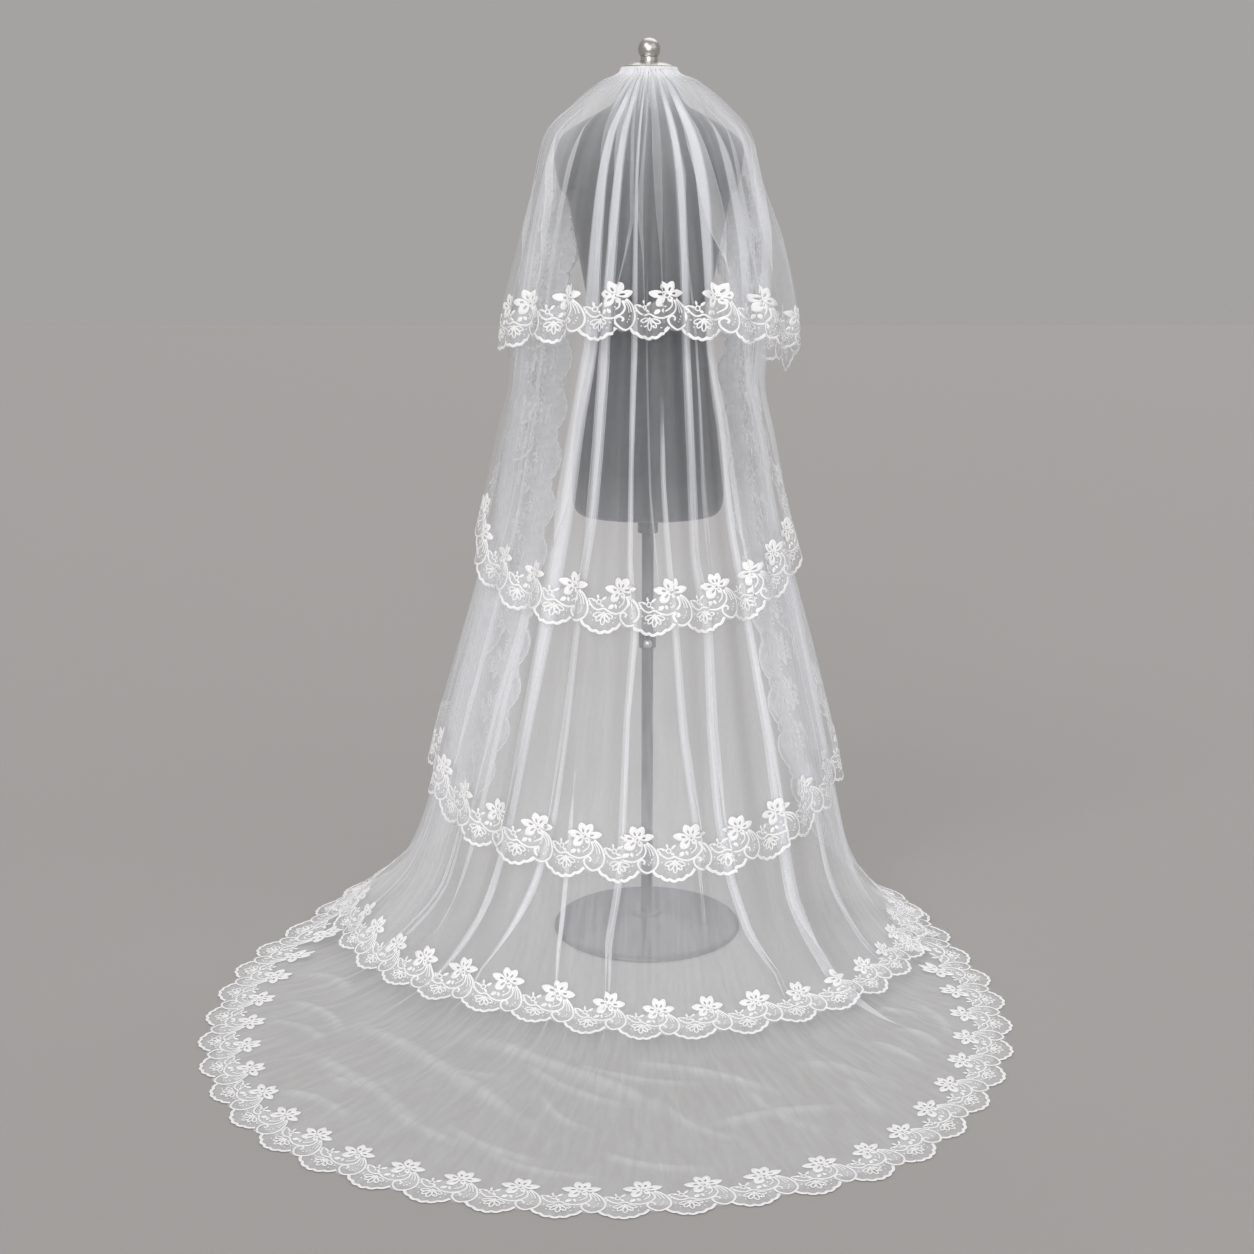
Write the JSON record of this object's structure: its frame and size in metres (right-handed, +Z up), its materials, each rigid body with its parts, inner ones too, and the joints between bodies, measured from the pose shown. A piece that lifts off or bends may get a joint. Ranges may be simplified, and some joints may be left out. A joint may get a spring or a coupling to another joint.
{
  "type": "bridal veil on dress form",
  "caption": "Tiered tulle bridal veil with scalloped floral lace edging and a floor train, gathered at the neck of a headless dress form on a pole stand.",
  "frame": {"origin": "on the floor, at the centre of the stand base's underside, on the pole's axis", "axes": "+Z up; the veil's train lies toward -Y, behind the dress form, whose front faces +Y; +X is on the right when the back is looked at"},
  "size_m": [1.3974, 1.2746, 1.6565],
  "materials": {
    "tulle": "sheer soft net",
    "lace": "satin embroidery on net",
    "jersey": "matt knit cover",
    "brushed_metal": "brushed",
    "dark_enamel": "satin enamel"
  },
  "bodies": {
    "root": {"heading": "tulle", "tulle_tier_1": "tulle", "tulle_tier_2": "tulle", "tulle_tier_3": "tulle", "tulle_tier_4": "tulle", "tulle_tier_5": "tulle", "lace_tier_1": "lace", "lace_tier_2": "lace", "lace_tier_3": "lace", "lace_tier_4": "lace", "lace_tier_5": "lace", "form_torso": "jersey", "neck_cap": "brushed_metal", "finial": "brushed_metal", "clamp_knob": "brushed_metal", "pole": "dark_enamel", "pole_collar": "dark_enamel", "height_clamp": "dark_enamel", "stand_base": "dark_enamel"}
  },
  "joints": []
}
